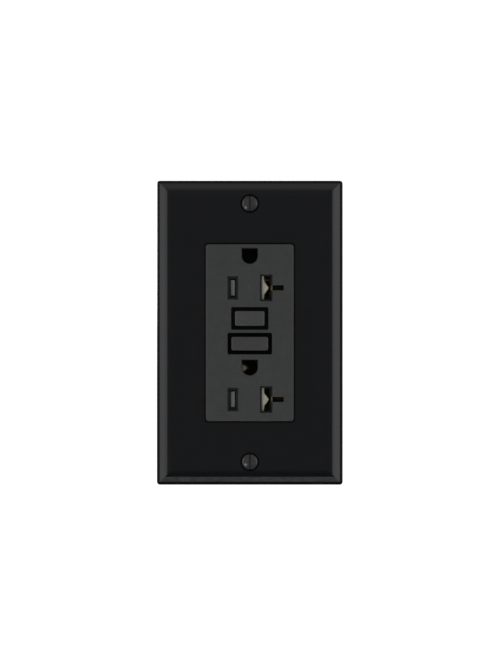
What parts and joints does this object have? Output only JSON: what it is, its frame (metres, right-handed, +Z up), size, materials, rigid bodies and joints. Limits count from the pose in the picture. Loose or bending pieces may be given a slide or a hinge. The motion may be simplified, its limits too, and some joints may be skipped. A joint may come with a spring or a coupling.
{
  "type": "duplex wall outlet",
  "caption": "Flush ground-fault duplex wall outlet with T-shaped slots, test and reset buttons, a screwed cover plate and a rear body with side terminals.",
  "frame": {"origin": "centre of the wall plane, where the plate's rim and the strap's ears meet the wall", "axes": "+X right as seen from the room, +Y into the wall, +Z up"},
  "size_m": [0.0698, 0.0342, 0.1142],
  "materials": {
    "black_gloss_plastic": "polished moulded nylon",
    "face_plastic": "fine matte moulded",
    "button_plastic": "satin moulded",
    "black_screw": "black enamelled steel",
    "cream_plastic": "natural acetal",
    "grey_plastic": "grey acetal",
    "black_plastic": "dull moulded",
    "zinc_steel": "zinc plated",
    "brass_parts": "rolled brass",
    "silver_parts": "nickel plated",
    "green_screw": "green dyed zinc",
    "spring_steel": "drawn wire",
    "copper_winding": "enamelled copper wire",
    "board": "solder-masked glass laminate",
    "ferrite": "wrapped core",
    "varistor_coat": "epoxy dip",
    "capacitor_case": "epoxy filled box",
    "resistor_coat": "lacquered body"
  },
  "bodies": {
    "root": {"assembly_screws": "zinc_steel", "back_body": "black_plastic", "brass_terminal_screws": "brass_parts", "circuit_board": "board", "control_chip": "black_plastic", "differential_transformer": "ferrite", "diodes": "black_plastic", "film_capacitor": "capacitor_case", "front_cover": "face_plastic", "ground_contact_rivets": "brass_parts", "ground_screw": "green_screw", "hot_contact_bus": "brass_parts", "hot_line_conductor": "brass_parts", "hot_line_terminal": "brass_parts", "hot_load_terminal": "brass_parts", "lower_ground_contact": "brass_parts", "lower_shutter_spring": "spring_steel", "lower_shutter_tray": "black_plastic", "middle_housing": "black_plastic", "mounting_screws": "zinc_steel", "mounting_strap": "zinc_steel", "neutral_contact_bus": "brass_parts", "neutral_line_conductor": "brass_parts", "neutral_line_terminal": "silver_parts", "neutral_load_terminal": "silver_parts", "neutral_transformer": "ferrite", "plate_screws": "black_screw", "plunger_spring": "spring_steel", "reset_spring": "spring_steel", "resistors": "resistor_coat", "screw_retainers": "grey_plastic", "silver_terminal_screws": "silver_parts", "solenoid_bobbin": "cream_plastic", "solenoid_coil": "copper_winding", "solenoid_frame": "zinc_steel", "test_spring": "spring_steel", "thyristor": "black_plastic", "transformer_housing": "cream_plastic", "upper_ground_contact": "brass_parts", "upper_shutter_spring": "spring_steel", "upper_shutter_tray": "black_plastic", "varistor": "varistor_coat", "wall_plate": "black_gloss_plastic", "wire_clamps": "zinc_steel"},
    "test_button": {"test_button": "button_plastic"},
    "reset_button": {"reset_button": "button_plastic", "reset_plunger": "spring_steel"},
    "test_blade": {"test_blade": "brass_parts"},
    "contact_carrier": {"contact_carrier": "cream_plastic"},
    "latch_plate": {"latch_plate": "zinc_steel"},
    "solenoid_plunger": {"solenoid_plunger": "zinc_steel"},
    "hot_contact_arm": {"hot_contact_arm": "brass_parts"},
    "neutral_contact_arm": {"neutral_contact_arm": "brass_parts"},
    "upper_hot_shutter": {"upper_hot_shutter": "grey_plastic"},
    "upper_neutral_shutter": {"upper_neutral_shutter": "cream_plastic"},
    "lower_hot_shutter": {"lower_hot_shutter": "grey_plastic"},
    "lower_neutral_shutter": {"lower_neutral_shutter": "cream_plastic"}
  },
  "joints": [
    {"name": "test_button_press", "type": "slide", "parent": "root", "child": "test_button", "axis": [0, 1, 0], "range_m": [0, 0.0015], "stiffness_N_per_m": 300, "springref_m": -0.0015, "deforming": ["test_spring"]},
    {"name": "reset_button_press", "type": "slide", "parent": "root", "child": "reset_button", "axis": [0, 1, 0], "range_m": [-0.0012, 0.0015], "stiffness_N_per_m": 400, "deforming": ["reset_spring"]},
    {"name": "test_blade_flex", "type": "hinge", "parent": "root", "child": "test_blade", "pos_m": [0.012, 0.00313, 0.00535], "axis": [0, 0, -1], "range_deg": [0, 7]},
    {"name": "contact_carrier_trip", "type": "slide", "parent": "root", "child": "contact_carrier", "axis": [0, 1, 0], "range_m": [0, 0.002], "stiffness_N_per_m": 200},
    {"name": "hot_contact_arm_swing", "type": "hinge", "parent": "root", "child": "hot_contact_arm", "pos_m": [0, 0.01015, 0.019], "axis": [1, 0, 0], "range_deg": [0, 4.5]},
    {"name": "neutral_contact_arm_swing", "type": "hinge", "parent": "root", "child": "neutral_contact_arm", "pos_m": [0, 0.01015, 0.019], "axis": [1, 0, 0], "range_deg": [0, 4.5]},
    {"name": "solenoid_plunger_pull", "type": "slide", "parent": "root", "child": "solenoid_plunger", "axis": [0, 0, -1], "range_m": [0, 0.0015], "stiffness_N_per_m": 250, "springref_m": -0.0005, "deforming": ["plunger_spring"]},
    {"name": "latch_plate_slide", "type": "slide", "parent": "contact_carrier", "child": "latch_plate", "axis": [0, 0, -1], "range_m": [0, 0.0016]},
    {"name": "upper_hot_shutter_slide", "type": "slide", "parent": "root", "child": "upper_hot_shutter", "axis": [1, 0, 0], "range_m": [0, 0.0026], "stiffness_N_per_m": 60, "springref_m": -0.001, "deforming": ["upper_shutter_spring"]},
    {"name": "upper_neutral_shutter_slide", "type": "slide", "parent": "root", "child": "upper_neutral_shutter", "axis": [-1, 0, 0], "range_m": [0, 0.0027], "deforming": ["upper_shutter_spring"]},
    {"name": "lower_hot_shutter_slide", "type": "slide", "parent": "root", "child": "lower_hot_shutter", "axis": [1, 0, 0], "range_m": [0, 0.0026], "stiffness_N_per_m": 60, "springref_m": -0.001, "deforming": ["lower_shutter_spring"]},
    {"name": "lower_neutral_shutter_slide", "type": "slide", "parent": "root", "child": "lower_neutral_shutter", "axis": [-1, 0, 0], "range_m": [0, 0.0027], "deforming": ["lower_shutter_spring"]}
  ],
  "couplings": [
    {"joint": "test_blade_flex", "follows": "test_button_press", "rad_per_m": 80},
    {"joint": "hot_contact_arm_swing", "follows": "contact_carrier_trip", "rad_per_m": 38.3},
    {"joint": "neutral_contact_arm_swing", "follows": "contact_carrier_trip", "rad_per_m": 38.3},
    {"joint": "latch_plate_slide", "follows": "solenoid_plunger_pull", "ratio": 1},
    {"joint": "upper_neutral_shutter_slide", "follows": "upper_hot_shutter_slide", "ratio": 1},
    {"joint": "lower_neutral_shutter_slide", "follows": "lower_hot_shutter_slide", "ratio": 1}
  ]
}
